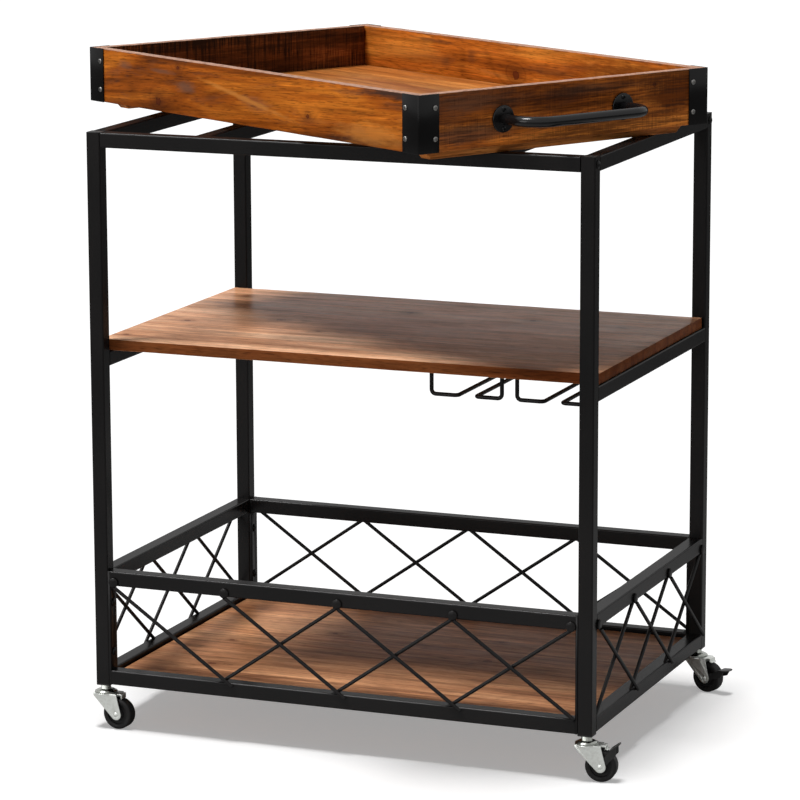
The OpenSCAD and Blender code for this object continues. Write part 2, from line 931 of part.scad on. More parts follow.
// a wheel's hub fills the fork, or leaves room for a brake's arms
module wheel(braked) {
    hub_r = 7;
    hub_w = braked ? wheel_w : fork_gap - 2*arm_air;
    rim_r = wheel_r - 5;
    rim_w = wheel_w - 4;
    web_w = wheel_w - 7;
    tread_r = 2.5;
    groove = 0.8;
    color(RUBBER) translate([hub.x, 0, hub.y]) along_y() rotate_extrude() difference() {
        union() {
            translate([0, -hub_w/2]) square([hub_r, hub_w]);
            translate([0, -web_w/2]) square([rim_r, web_w]);
            translate([rim_r - 2, -rim_w/2]) square([3, rim_w]);
            // tyre with round shoulders
            translate([rim_r, -wheel_w/2 + tread_r]) square([wheel_r - rim_r, wheel_w - 2*tread_r]);
            translate([rim_r, -wheel_w/2]) square([wheel_r - rim_r - tread_r, wheel_w]);
            for (s = [-1, 1]) {
                translate([wheel_r - tread_r, s*(wheel_w/2 - tread_r)]) circle(r = tread_r);
            }
        }
        translate([-1, -wheel_w]) square([axle_d/2 + run_fit + 1, 2*wheel_w]);
        // grooves around the tread and the side walls
        for (s = [-1, 1]) {
            translate([wheel_r, s*wheel_w/5]) circle(r = groove, $fn = 24);
            translate([wheel_r - 3.2, s*wheel_w/2]) circle(r = groove/2, $fn = 24);
        }
    }
}

// a brake lever, swung down by the given angle
module brake_lever(down) {
    flank = pedal_at + pedal_flank*[cos(pedal_rise), sin(pedal_rise)];
    side = arm_y + arm_t + pedal_over;
    color(ZINC) translate([hub.x, 0, hub.y]) rotate([0, down, 0]) {
        for (s = [-1, 1]) {
            translate([0, s*(arm_y + arm_t/2), 0]) rotate([90, 0, 0])
                linear_extrude(arm_t, center = true) difference() {
                    union() {
                        polygon([[0, 0], touch(arm_foot, [0, 0], arm_neck_r, 1), arm_foot, flank,
                            pedal_at, touch(pedal_at, [0, 0], arm_neck_r, -1)]);
                        circle(r = arm_end_r);
                    }
                    circle(d = axle_d + 2*run_fit);
                }
        }
        translate([pedal_at.x, 0, pedal_at.y]) rotate([0, -pedal_rise, 0])
            linear_extrude(pedal_t, center = true) {
                translate([-pedal_t, -side]) square([pedal_t + pedal_len - pedal_tip_r, 2*side]);
                translate([0, pedal_tip_r - side]) square([pedal_len, 2*(side - pedal_tip_r)]);
                for (s = [-1, 1]) {
                    translate([pedal_len - pedal_tip_r, s*(side - pedal_tip_r)]) circle(r = pedal_tip_r);
                }
            }
    }
}

module fork_front_left() at_caster(-1, -1, turn_fl) fork(false);
module fork_front_right() at_caster(1, -1, turn_fr) fork(true);
module fork_back_left() at_caster(-1, 1, turn_bl) fork(false);
module fork_back_right() at_caster(1, 1, turn_br) fork(true);
module axle_front_left() at_caster(-1, -1, turn_fl) axle();
module axle_front_right() at_caster(1, -1, turn_fr) axle();
module axle_back_left() at_caster(-1, 1, turn_bl) axle();
module axle_back_right() at_caster(1, 1, turn_br) axle();
module wheel_front_left() at_caster(-1, -1, turn_fl) wheel(false);
module wheel_front_right() at_caster(1, -1, turn_fr) wheel(true);
module wheel_back_left() at_caster(-1, 1, turn_bl) wheel(false);
module wheel_back_right() at_caster(1, 1, turn_br) wheel(true);
// the front brake rests released and the back one rests pressed
module brake_lever_front() at_caster(1, -1, turn_fr) brake_lever(0);
module brake_lever_back() at_caster(1, 1, turn_br) brake_lever(brake_swing);

post_front_left();
post_front_right();
post_back_left();
post_back_right();
post_caps();
top_end_rails();
shelf_rails();
gallery_end_rails();
bottom_end_rails();
top_rail_front();
top_rail_back();
rail_plugs();
cross_bar_left();
cross_bar_right();
gallery_rail_front();
gallery_rail_back();
bottom_rail_front();
bottom_rail_back();
gallery_plates();
lattice_front();
lattice_back();
lattice_left();
lattice_right();
lattice_discs();
frame_bolts();
middle_shelf();
lower_shelf();
shelf_tabs();
shelf_screws();
stem_rack_left();
stem_rack_right();
rack_straps();
tray_floor();
tray_wall_front();
tray_wall_back();
tray_wall_left();
tray_wall_right();
tray_battens();
tray_corners();
corner_screws();
tray_handle_left();
tray_handle_right();
handle_screws();
caster_inserts();
caster_stems();
caster_balls();
fork_front_left();
axle_front_left();
wheel_front_left();
fork_front_right();
axle_front_right();
wheel_front_right();
fork_back_left();
axle_back_left();
wheel_back_left();
fork_back_right();
axle_back_right();
wheel_back_right();
brake_lever_front();
brake_lever_back();
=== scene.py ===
"""The looks of the bar cart: lacquered wood, black powder-coated steel, zinc casters."""
import json
import math

import bmesh
import bpy
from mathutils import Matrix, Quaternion, Vector

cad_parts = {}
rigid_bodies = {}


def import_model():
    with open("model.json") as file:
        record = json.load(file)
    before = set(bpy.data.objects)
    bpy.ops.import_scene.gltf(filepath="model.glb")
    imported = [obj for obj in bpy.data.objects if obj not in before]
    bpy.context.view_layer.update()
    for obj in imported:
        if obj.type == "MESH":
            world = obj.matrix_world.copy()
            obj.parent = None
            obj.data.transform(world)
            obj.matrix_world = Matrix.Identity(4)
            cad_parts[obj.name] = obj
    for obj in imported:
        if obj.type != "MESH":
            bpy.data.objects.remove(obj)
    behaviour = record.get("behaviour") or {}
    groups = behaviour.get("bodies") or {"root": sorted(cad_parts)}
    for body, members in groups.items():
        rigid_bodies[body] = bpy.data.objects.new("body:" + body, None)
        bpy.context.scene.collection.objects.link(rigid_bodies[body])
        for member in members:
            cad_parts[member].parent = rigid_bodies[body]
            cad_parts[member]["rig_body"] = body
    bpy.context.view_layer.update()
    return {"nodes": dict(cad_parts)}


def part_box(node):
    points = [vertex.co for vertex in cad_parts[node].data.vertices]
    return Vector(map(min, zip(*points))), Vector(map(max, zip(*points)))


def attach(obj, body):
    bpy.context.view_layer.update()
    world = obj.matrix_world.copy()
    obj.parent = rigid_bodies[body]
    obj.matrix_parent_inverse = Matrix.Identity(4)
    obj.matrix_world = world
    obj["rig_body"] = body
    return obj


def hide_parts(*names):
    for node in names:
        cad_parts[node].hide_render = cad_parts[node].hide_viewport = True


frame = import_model()

MM = 0.001
QUARTER_TURN = math.pi / 2
HALF_TURN = math.pi

# ---------- sizes, in metres, as the frame has them ----------

TRAY_TURN = math.radians(-30)
TRAY_L, TRAY_W = 727 * MM, 482 * MM
WALL_T, WALL_H = 15 * MM, 74 * MM
FLOOR_T, FLOOR_UP, FLOOR_PLAY = 12 * MM, 5 * MM, 0.9 * MM
TRAY_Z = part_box("tray_wall_front")[0][2]
BRACKET_LEG, BRACKET_T, BRACKET_BEND = 33 * MM, 1.5 * MM, 1.8 * MM
BRACKET_SCREW_IN, BRACKET_SCREW_GAP = 25 * MM, 39 * MM
BRACKET_SCREW_D, FLANGE_SCREW_D, SCREW_HEAD_H = 7 * MM, 6.5 * MM, 1.5 * MM
HANDLE_SPAN, HANDLE_D, HANDLE_OUT, HANDLE_BEND = 200 * MM, 13.5 * MM, 60 * MM, 32 * MM
HANDLE_ASIDE, HANDLE_DOWN = 6 * MM, 3 * MM
FLANGE_D, FLANGE_T, FLANGE_SCREW = 35 * MM, 2.5 * MM, 12.5 * MM
BATTEN_W, BATTEN_DROP, BATTEN_IN = 20 * MM, 11 * MM, 29 * MM
BATTEN_END, BATTEN_SLOPE = 26 * MM, 9 * MM
WHEEL_D, WHEEL_W, TYRE_ROUND = 42 * MM, 16 * MM, 2.4 * MM
# steps of a wheel's face from its rim to its hub, in mm: how far in, and how far up
WHEEL_STEPS = ((2.2, 0), (0.5, -0.6), (1.5, 0), (0.6, -2.6), (4.6, 0))
HUB_STEP, BRAKED_HUB_STEP = (0.6, 3.6), (0.6, 2.8)

shelf_low, shelf_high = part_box("middle_shelf")
CART_X = (shelf_low[0] + shelf_high[0]) / 2
CART_Y = (shelf_low[1] + shelf_high[1]) / 2


# ---------- building materials node by node ----------

def tone(red, green, blue):
    """A screen colour from 0 to 255 as the linear colour that a socket takes."""
    def linear(c):
        c /= 255
        return c / 12.92 if c <= 0.04045 else ((c + 0.055) / 1.055) ** 2.4
    return (linear(red), linear(green), linear(blue), 1.0)


class Nodes:
    """A node tree that is built node by node, from sockets and plain values."""

    def __init__(self, tree):
        self.tree = tree

    def add(self, kind, inputs=None, out=0, **settings):
        made = self.tree.nodes.new("ShaderNode" + kind)
        for key, value in settings.items():
            setattr(made, key, value)
        for key, value in (inputs or {}).items():
            self.put(made.inputs[key], value)
        return made.outputs[out]

    def put(self, socket, value):
        if isinstance(value, bpy.types.NodeSocket):
            self.tree.links.new(value, socket)
        else:
            socket.default_value = value

    def math(self, operation, a, b=0.0):
        return self.add("Math", {0: a, 1: b}, operation=operation)

    def between(self, share, low, high):
        """The number from low to high that the share picks."""
        return self.add("Math", {0: share, 1: high - low, 2: low}, operation="MULTIPLY_ADD")


class Finish(Nodes):
    """A material on the piece's own coordinates, with Principled BSDF as its shader."""

    def __init__(self, name, **sockets):
        self.material = bpy.data.materials.new(name)
        self.material.use_nodes = True
        super().__init__(self.material.node_tree)
        self.shader = self.tree.nodes["Principled BSDF"]
        for key, value in sockets.items():
            self.shader.inputs[key.replace("_", " ")].default_value = value

    def place(self, scale=(1, 1, 1), at=(0, 0, 0), turn=0.0, vector=None):
        if vector is None:
            vector = self.add("TexCoord", out="Object")
        return self.add("Mapping", {"Vector": vector, "Scale": scale, "Location": at,
                                    "Rotation": (0, 0, turn)})

    def noise(self, vector, scale, detail=3.0, rough=0.5, twist=0.0):
        return self.add("TexNoise", {"Vector": vector, "Scale": scale, "Detail": detail,
                                     "Roughness": rough, "Distortion": twist})

    def ramp(self, value, *stops):
        """Colour or grey stops at rising places, straight between them."""
        made = self.tree.nodes.new("ShaderNodeValToRGB")
        self.put(made.inputs[0], value)
        band = made.color_ramp.elements
        while len(band) < len(stops):
            band.new(0.5)
        for element, (place, colour) in zip(band, stops):
            element.position = place
            element.color = colour if isinstance(colour, tuple) else (colour, colour, colour, 1)
        return made.outputs[0]

    def mix(self, share, a, b, blend="MIX"):
        return self.add("Mix", {0: share, 6: a, 7: b}, out=2, data_type="RGBA", blend_type=blend)

    def darken(self, share, colour, by):
        return self.mix(share, colour, by, "MULTIPLY")

    def bump(self, height, strength, depth):
        normal = self.add("Bump", {"Height": height, "Strength": strength, "Distance": depth})
        self.put(self.shader.inputs["Normal"], normal)

    def show(self, colour, rough):
        self.put(self.shader.inputs["Base Color"], colour)
        self.put(self.shader.inputs["Roughness"], rough)
        return self.material


# ---------- wood ----------

# marks per metre along, across and through a board; those with one number are alike all ways
FIGURE, DRIFT, CLOUD, FRAY = (3.2, 24, 24), (0.9, 6, 6), (9, 46, 46), (34, 150, 150)
FIBRE, STREAK, PORES = (9, 420, 420), (2.4, 95, 95), (60, 800, 800)
SCRATCH, DRAG, FIELD = (420, 36, 14), (14, 360, 360), (6, 34, 34)
WOBBLE, TOP_RUB = 170.0, 130.0
# how far each kind of mark darkens the wood
LINES_DEPTH, STREAK_DEPTH, FIBRE_DEPTH, PORES_DEPTH, JOINT_DEPTH = 0.3, 0.85, 0.85, 0.7, 0.8
KNOT_STRETCH, KNOT_RAGGED, HALO_REACH = 1.3, 0.9, 4
HALO_SHARE, HEART_SHARE, RIM_SHARE = 0.5, 0.75, 0.85
GROWTH_LINES, LINES_ROUND_KNOT = 130.0, 9.0
STRIP_JUMP = 9.0
PATCH_RAGGED, EDGE_RAGGED = 1.6, 1.3
FIELD_SHARE = 0.7
FIBRE_RELIEF, PORE_RELIEF = 0.6, 0.4
PER_CM = 100.0
# a half size, in metres, that no board reaches
FAR = 1000

STAIN, KNOT_HALO = tone(84, 60, 48), tone(84, 42, 18)
KNOT_HEART, KNOT_RIM = tone(86, 36, 18), tone(36, 18, 12)
SAW_BURN, TORN_EDGE = tone(44, 28, 20), tone(66, 48, 40)
# the pale wood of a rubbed top edge, and the painted shade for upright edge faces
BARE_EDGE, EDGE_PAINTED_SHADE = tone(178, 140, 120), tone(138, 104, 76)


class Grain(Finish):
    """Wood whose grain runs along X once the board is turned by turn.

    strip is the width of glued strips, lean tips the grain in the board's face, and across is the
    face's second direction.
    """

    def __init__(self, name, turn, shift, across, strip, lean, shine):
        super().__init__(name, Specular_IOR_Level=shine)
        self.across = across
        self.board = self.place(turn=turn)
        self.inside = self.place(at=shift, vector=self.board)
        if lean:
            self.inside = self.add("Mapping", {"Vector": self.inside, "Rotation": (0, lean, 0)})
        if strip:
            side = self.add("SeparateXYZ", {0: self.board}, out="Y")
            self.rank = self.math("DIVIDE", side, strip)
            self.luck = self.add("TexWhiteNoise", {"W": self.math("FLOOR", self.rank)},
                                 noise_dimensions="1D")
            along = self.math("MULTIPLY", self.luck, STRIP_JUMP)
            jump = self.add("CombineXYZ", {0: along, 1: 0.0, 2: self.luck})
            self.inside = self.add("VectorMath", {0: self.inside, 1: jump}, operation="ADD")

    def marks(self, per_metre, detail=3.0, rough=0.5, twist=0.0):
        return self.noise(self.place(per_metre, vector=self.inside), 1.0, detail, rough, twist)

    def reach(self, u, w, long, tall, tilt=0.0):
        """How far a point is from the middle of an ellipse on the face, 1 at its rim."""
        if self.across == "Z":
            spot, span, tip = (u, 0, w), (long, FAR, tall), (0, tilt, 0)
        else:
            spot, span, tip = (u, w, 0), (long, tall, FAR), (0, 0, tilt)
        near = self.add("Mapping", {"Vector": self.board, "Location": spot, "Rotation": tip,
                                    "Scale": span}, vector_type="TEXTURE")
        return self.add("VectorMath", {0: near}, out="Value", operation="LENGTH")

    def knots(self, knots):
        """For each knot how much a point lies in its heart, on its rim and in its halo."""
        wobble = self.noise(self.board, WOBBLE, 3.0, 0.6)
        masks = []
        for u, w, radius in knots:
            near = self.reach(u, w, radius * KNOT_STRETCH, radius)
            ragged = self.math("ADD", near, self.math("MULTIPLY", wobble, KNOT_RAGGED))
            heart = self.ramp(ragged, (0.9, 1.0), (1.35, 0.0))
            rim = self.ramp(ragged, (0.85, 0.0), (1.15, 1.0), (1.55, 0.0))
            wide = self.math("MULTIPLY", near, 1 / HALO_REACH)
            halo = self.ramp(wide, (0.2, 1.0), (0.5, 0.35), (1.0, 0.0))
            masks.append((heart, rim, halo))
        return masks

    def growth_lines(self, masks):
        """Growth lines that bend round the knots."""
        phase = self.math("MULTIPLY", self.marks(DRIFT, 2.0, 0.5, 0.4), GROWTH_LINES)
        for _, _, halo in masks:
            phase = self.math("ADD", phase, self.math("MULTIPLY", halo, LINES_ROUND_KNOT))
        return self.ramp(self.math("SINE", phase), (0.0, 1.0), (0.6, 0.9), (1.0, 0.3))

    def glued_strips(self, colour):
        """Each strip a little lighter or darker, with a thin dark joint between two."""
        shade = self.ramp(self.luck, (0.0, 0.84), (0.5, 1.0), (1.0, 1.12))
        joint = self.ramp(self.math("PINGPONG", self.rank, 0.5), (0.0, 0.6), (0.025, 1.0))
        return self.darken(JOINT_DEPTH, self.darken(1.0, colour, shade), joint)

    def with_patches(self, colour, patches, fray):
        for u, w, long, tall, tilt, shade, share in patches:
            loose = self.math("ADD", self.reach(u, w, long, tall, tilt),
                              self.math("MULTIPLY", fray, PATCH_RAGGED))
            mask = self.ramp(self.math("MULTIPLY", loose, 0.5), (0.6, share), (0.95, 0.0))
            colour = self.mix(mask, colour, shade)
        return colour

    def with_knots(self, colour, masks):
        for _, _, halo in masks:
            colour = self.mix(self.math("MULTIPLY", halo, HALO_SHARE), colour, KNOT_HALO)
        for heart, rim, _ in masks:
            colour = self.mix(self.math("MULTIPLY", heart, HEART_SHARE), colour, KNOT_HEART)
            colour = self.mix(self.math("MULTIPLY", rim, RIM_SHARE), colour, KNOT_RIM)
        return colour

    def saw_marks(self, colour, saw, hatch, burn):
        """Burnt marks: hatch gives how much they lie across and along the grain."""
        marks = self.math("ADD", self.math("MULTIPLY", self.marks(SCRATCH, 3.0, 0.75), hatch[0]),
                          self.math("MULTIPLY", self.marks(DRAG, 4.0, 0.7), hatch[1]))
        field = self.math("MULTIPLY", self.marks(FIELD, 5.0, 0.62), FIELD_SHARE)
        middle = (hatch[0] + hatch[1] + FIELD_SHARE) / 2
        level = self.math("SUBTRACT", self.math("ADD", marks, field), middle - 0.5)
        burnt = self.ramp(level, (0.42, 0.0), (0.6, 1.0))
        return self.mix(self.math("MULTIPLY", burnt, saw), colour, burn)

    def worn_top(self, colour, fray, facing_up):
        """A wall's top edge: dark and torn below it, rubbed bare on it."""
        height = self.add("SeparateXYZ", {0: self.board}, out="Z")
        high = self.math("MULTIPLY", self.math("SUBTRACT", height, TRAY_Z + WALL_H), PER_CM)
        torn = self.math("ADD", high, self.math("MULTIPLY", fray, EDGE_RAGGED))
        colour = self.mix(self.ramp(torn, (0.45, 0.0), (0.7, 0.7)), colour, TORN_EDGE)
        rub = self.ramp(self.noise(self.inside, TOP_RUB, 4.0), (0.34, 0.45), (0.56, 1.0))
        bare = self.math("MULTIPLY", self.ramp(facing_up, (0.3, 0.0), (0.75, 1.0)), rub)
        upper_half = self.math("GREATER_THAN", high, -WALL_H / 2 * PER_CM)
        return self.mix(self.math("MULTIPLY", bare, upper_half), colour, BARE_EDGE)

    # Painted shade: upright faces, such as a shelf's edges, are darkened as if less light reached
    # them than the top.
    def paint_shade_on_edges(self, colour, facing_up):
        upright = self.ramp(self.math("ABSOLUTE", facing_up), (0.5, 1.0), (0.8, 0.0))
        return self.mix(upright, colour, self.darken(1.0, colour, EDGE_PAINTED_SHADE))


def wood(name, tones, turn=0.0, shift=(0, 0, 0), across="Z", strip=0.0, lean=0.0, knots=(),
         patches=(), contrast=1.0, stain=0.45, saw=0.0, hatch=(0.3, 0.8), burn=SAW_BURN,
         worn_top=False, painted_shade_on_edges=False, gloss=0.5, shine=0.04):
    """Lacquered wood.

    tones are the dark, middle and light wood. Knots are (along, across, radius). Patches are
    (along, across, half length, half height, tilt, colour, share). saw is how far saw marks
    darken the face.
    """
    grain = Grain(name, turn, shift, across, strip, lean, shine)
    knot_masks = grain.knots(knots)
    streak = grain.marks(STREAK, 3.0, 0.65, 0.3)
    fibre = grain.marks(FIBRE, 3.0, 0.65)
    pores = grain.marks(PORES, 2.0, 0.5)
    cloud = grain.marks(CLOUD, 5.0, 0.66, 0.4)
    fray = grain.marks(FRAY, 4.0, 0.7)

    figure = grain.marks(FIGURE, 5.0, 0.62, 0.7)
    colour = grain.ramp(figure, (0.34, tones[0]), (0.5, tones[1]), (0.66, tones[2]))
    if strip:
        colour = grain.glued_strips(colour)
    for depth, marks in (
            (LINES_DEPTH * contrast, grain.growth_lines(knot_masks)),
            (STREAK_DEPTH * contrast, grain.ramp(streak, (0.3, 0.45), (0.7, 1.4))),
            (FIBRE_DEPTH * contrast, grain.ramp(fibre, (0.28, 0.5), (0.7, 1.4))),
            (PORES_DEPTH, grain.ramp(pores, (0.32, 0.3), (0.46, 1.0)))):
        colour = grain.darken(depth, colour, marks)
    stained = grain.math("MULTIPLY", grain.ramp(cloud, (0.52, 0.0), (0.68, 1.0)), stain)
    colour = grain.mix(stained, colour, STAIN)
    colour = grain.with_patches(colour, patches, fray)
    colour = grain.with_knots(colour, knot_masks)
    if saw:
        colour = grain.saw_marks(colour, saw, hatch, burn)
    facing_up = grain.add("SeparateXYZ", {0: grain.add("NewGeometry", out="Normal")}, out="Z")
    if worn_top:
        colour = grain.worn_top(colour, fray, facing_up)
    # painted shade on the upright edge faces
    if painted_shade_on_edges:
        colour = grain.paint_shade_on_edges(colour, facing_up)
    relief = grain.math("ADD", grain.math("MULTIPLY", fibre, FIBRE_RELIEF),
                        grain.math("MULTIPLY", pores, PORE_RELIEF))
    grain.bump(relief, 0.3, 0.4 * MM)
    return grain.show(colour, grain.ramp(cloud, (0.3, gloss), (0.7, gloss + 0.14)))


# ---------- steel, rubber and plastic ----------

DUST, ZINC_STAIN, SCUFF = tone(36, 33, 32), tone(128, 122, 108), tone(52, 50, 48)
# marks per metre
ORANGE_PEEL, FINE_PEEL, DUST_CLOUDS, ZINC_CLOUDS, SCUFFS = 900.0, 400.0, 9.0, 260.0, 140.0
BRUSHED = (60, 60, 900)


def black_steel(name, colour=tone(19, 18, 18), rough=0.4, peel=ORANGE_PEEL, coat=0.3,
                gloss=0.27):
    """Powder coat: near black, with the fine orange peel of such a coat."""
    finish = Finish(name, Specular_IOR_Level=0.0, Coat_Weight=coat, Coat_Roughness=gloss)
    cloud = finish.noise(finish.place(), DUST_CLOUDS)
    finish.bump(finish.noise(finish.place(), peel, 2.0), 0.1, 0.2 * MM)
    dusty = finish.mix(finish.ramp(cloud, (0.4, 0.0), (0.75, 0.3)), colour, DUST)
    return finish.show(dusty, finish.ramp(cloud, (0.3, rough), (0.7, rough + 0.1)))


def bright_steel(name, colour, rough=0.3, stain=0.3):
    """Bare or plated steel, faintly brushed and clouded."""
    finish = Finish(name, Metallic=1.0)
    cloud = finish.noise(finish.place(), ZINC_CLOUDS, 4.0, 0.6)
    finish.bump(finish.noise(finish.place(BRUSHED), 1.0, 2.0), 0.08, 0.2 * MM)
    stained = finish.mix(finish.ramp(cloud, (0.4, 0.0), (0.8, stain)), colour, ZINC_STAIN)
    return finish.show(stained, finish.ramp(cloud, (0.3, rough), (0.7, rough + 0.18)))


def dull_black(name, colour=tone(17, 16, 16), rough=0.55, shine=0.2):
    """Rubber, plastic or paint that is scuffed grey in places."""
    finish = Finish(name, Specular_IOR_Level=shine)
    cloud = finish.noise(finish.place(), SCUFFS, 4.0)
    finish.bump(cloud, 0.15, 0.3 * MM)
    scuffed = finish.mix(finish.ramp(cloud, (0.55, 0.0), (0.8, 0.3)), colour, SCUFF)
    return finish.show(scuffed, finish.ramp(cloud, (0.3, rough), (0.7, rough + 0.15)))


# ---------- the cart's finishes ----------

ORANGE = (tone(98, 46, 10), tone(157, 79, 18), tone(198, 113, 34))
AMBER = (tone(128, 62, 16), tone(188, 102, 32), tone(224, 142, 56))
BURNT = (tone(92, 60, 40), tone(132, 86, 52), tone(166, 112, 70))
RUST = (tone(132, 66, 24), tone(190, 102, 36), tone(222, 132, 54))
TAN = (tone(143, 80, 33), tone(176, 107, 50), tone(199, 134, 71))
PLANKS = (tone(184, 128, 92), tone(220, 162, 122), tone(238, 190, 152))
DARK_PLANKS = (tone(140, 92, 62), tone(178, 124, 86), tone(204, 150, 108))
VIOLET, SOOT, HONEY = tone(106, 74, 58), tone(56, 40, 33), tone(206, 132, 58)
ASH, UMBER = tone(98, 74, 60), tone(108, 52, 14)

straight = -TRAY_TURN
crosswise = -TRAY_TURN - QUARTER_TURN
front_board = wood(
    "front_board_wood", ORANGE, straight, worn_top=True, stain=0.4, lean=0.06, contrast=0.75,
    knots=[(-0.1553, 0.8878, 0.0045), (0.1344, 0.8508, 0.005), (-0.2022, 0.838, 0.0085)],
    patches=[(-0.139, 0.864, 0.026, 0.009, 0, VIOLET, 0.8),
             (-0.281, 0.881, 0.02, 0.006, 0, VIOLET, 0.7),
             (-0.19, 0.880, 0.03, 0.004, 0, VIOLET, 0.6),
             (0.022, 0.856, 0.04, 0.011, 0.1, VIOLET, 0.45),
             (0.33, 0.8965, 0.1, 0.009, 0, SOOT, 0.9),
             (0.0, 0.8597, 0.11, 0.004, 0.176, HONEY, 0.6),
             (0.27, 0.840, 0.08, 0.016, 0, HONEY, 0.5)])
back_board = wood(
    "back_board_wood", AMBER, straight, (0.7, 0.1, 0.4), worn_top=True, stain=0.3,
    knots=[(-0.0091, 0.8561, 0.0095)],
    patches=[(-0.185, 0.890, 0.06, 0.003, 0.03, SOOT, 0.5),
             (-0.105, 0.876, 0.012, 0.012, 0, SOOT, 0.35),
             (-0.162, 0.859, 0.012, 0.008, 0, SOOT, 0.35),
             (-0.25, 0.868, 0.09, 0.012, 0, HONEY, 0.35),
             (0.24, 0.876, 0.14, 0.022, 0, UMBER, 0.8)])
right_board = wood(
    "right_board_wood", RUST, crosswise, (0.2, 0.5, 0.1), worn_top=True, saw=0.6,
    hatch=(0.45, 1.1), knots=[(0.15, 0.883, 0.005)],
    patches=[(-0.16, 0.884, 0.1, 0.016, 0, ASH, 0.55),
             (-0.17, 0.844, 0.09, 0.014, 0, ASH, 0.55),
             (0.04, 0.886, 0.09, 0.008, 0, ASH, 0.4),
             (0.19, 0.868, 0.06, 0.03, 0, UMBER, 0.95)])
left_board = wood(
    "left_board_wood", BURNT, crosswise, (1.3, 0.2, 0.8), worn_top=True, saw=0.95,
    hatch=(0.9, 0.15), burn=tone(46, 33, 26))
tray_bottom = wood(
    "tray_bottom_wood", TAN, straight, (0.4, 0, 0.3), "Y", 0.075, stain=0.3, gloss=0.4,
    contrast=0.6)
batten_wood = wood("batten_wood", TAN, crosswise, (0.1, 0.9, 0.2), stain=0.2)
shelf_wood = wood(
    "shelf_wood", PLANKS, 0.0, (0.3, 0.2, 0), "Y", 0.052, contrast=0.55, stain=0.3, gloss=0.26,
    shine=0.012, painted_shade_on_edges=True,
    knots=[(-0.275, -0.067, 0.007), (-0.279, 0.141, 0.007), (-0.156, -0.019, 0.009),
           (-0.308, -0.193, 0.006), (-0.075, -0.080, 0.005), (-0.011, 0.096, 0.007),
           (0.169, 0.098, 0.006), (0.301, 0.089, 0.006)])
lower_wood = wood(
    "lower_shelf_wood", DARK_PLANKS, 0.0, (1.9, 0.7, 0), "Y", 0.047, contrast=0.7, stain=0.4,
    gloss=0.3, shine=0.012, painted_shade_on_edges=True,
    knots=[(-0.229, -0.033, 0.006), (-0.204, -0.157, 0.008), (-0.108, 0.050, 0.006),
           (0.144, -0.011, 0.010), (0.128, 0.088, 0.006)])
steel = black_steel("black_powder_coat")
bracket_steel = black_steel("bracket_black", tone(11, 10, 10), 0.38, coat=0.35, gloss=0.2)
handle_steel = black_steel("handle_black", tone(8, 8, 9), 0.28, FINE_PEEL, 0.55, 0.2)
zinc = bright_steel("zinc_plate", tone(206, 209, 205))
# darker than the zinc: a painted reflection, standing in for the dark surroundings that the chrome
# race mirrors
race_steel = bright_steel("race_steel", tone(150, 153, 148), 0.14)
screw_steel = bright_steel("screw_steel", tone(128, 127, 126), stain=0.5)
pedal_black = dull_black("pedal_black", tone(20, 20, 19), 0.4, 0.35)
rubber = dull_black("wheel_rubber")
plastic = dull_black("black_plastic", tone(14, 14, 14), 0.45, 0.3)

# every solid is powder-coated steel, apart from these; the pieces below then replace many
OTHER_FINISHES = {"caster_balls": zinc, "caster_inserts": plastic, "shelf_screws": screw_steel}
for node, solid in frame["nodes"].items():
    solid.data.materials.clear()
    solid.data.materials.append(OTHER_FINISHES.get(node, steel))


# ---------- modelling ----------

def alone(piece):
    """Leaves this piece as the only one that is selected."""
    bpy.ops.object.select_all(action="DESELECT")
    piece.select_set(True)
    bpy.context.view_layer.objects.active = piece


def begin(kind, name, **sizes):
    """A primitive to start a piece from, with its place already in its mesh."""
    bpy.ops.object.select_all(action="DESELECT")
    getattr(bpy.ops.mesh, "primitive_" + kind + "_add")(**sizes)
    piece = bpy.context.object
    piece.name = name
    settle(piece)
    return piece


def block(name, low, high):
    """A cube drawn out between two corners."""
    return begin("cube", name, size=1, location=[(a + b) / 2 for a, b in zip(low, high)],
                 scale=[b - a for a, b in zip(low, high)])


def settle(piece, turn=(0, 0, 0), at=(0, 0, 0)):
    """Turns the piece about the origin, moves it, and puts its place in its mesh."""
    alone(piece)
    piece.rotation_euler = [a + b for a, b in zip(piece.rotation_euler, turn)]
    piece.location = [a + b for a, b in zip(piece.location, at)]
    bpy.ops.object.transform_apply(location=True, rotation=True, scale=True)


def lay_with_tray(piece, more=0.0):
    settle(piece, (0, 0, TRAY_TURN + more))


def pick(piece, kind, test):
    """In edit mode, selects only the faces, edges or corners that pass the test."""
    if piece.mode != "EDIT":
        alone(piece)
        bpy.ops.object.mode_set(mode="EDIT")
    bpy.ops.mesh.select_mode(type=kind)
    bpy.ops.mesh.select_all(action="DESELECT")
    mesh = bmesh.from_edit_mesh(piece.data)
    for part in {"VERT": mesh.verts, "EDGE": mesh.edges, "FACE": mesh.faces}[kind]:
        if test(part):
            part.select_set(True)
    bmesh.update_edit_mesh(piece.data)


def leave_edit():
    bpy.ops.object.mode_set(mode="OBJECT")


def smooth(degrees):
    bpy.ops.object.shade_smooth_by_angle(angle=math.radians(degrees))


def modify(piece, kind, **settings):
    """Adds a modifier and applies it."""
    alone(piece)
    modifier = piece.modifiers.new(kind.lower(), kind)
    for key, value in settings.items():
        setattr(modifier, key, value)
    bpy.ops.object.modifier_apply(modifier=modifier.name)


def round_edges(piece, width, segments=3, above=35):
    modify(piece, "BEVEL", width=width, segments=segments, limit_method="ANGLE",
           angle_limit=math.radians(above), use_clamp_overlap=False)
    smooth(40)


def join(name, parts):
    """Several meshes as one piece."""
    bpy.ops.object.select_all(action="DESELECT")
    for part in parts:
        part.select_set(True)
    bpy.context.view_layer.objects.active = parts[0]
    bpy.ops.object.join()
    parts[0].name = name
    parts[0].data.name = name
    return parts[0]


def twin(name, mesh):
    """An object with its own copy of a mesh."""
    made = bpy.data.objects.new(name, mesh.copy())
    bpy.context.scene.collection.objects.link(made)
    return made


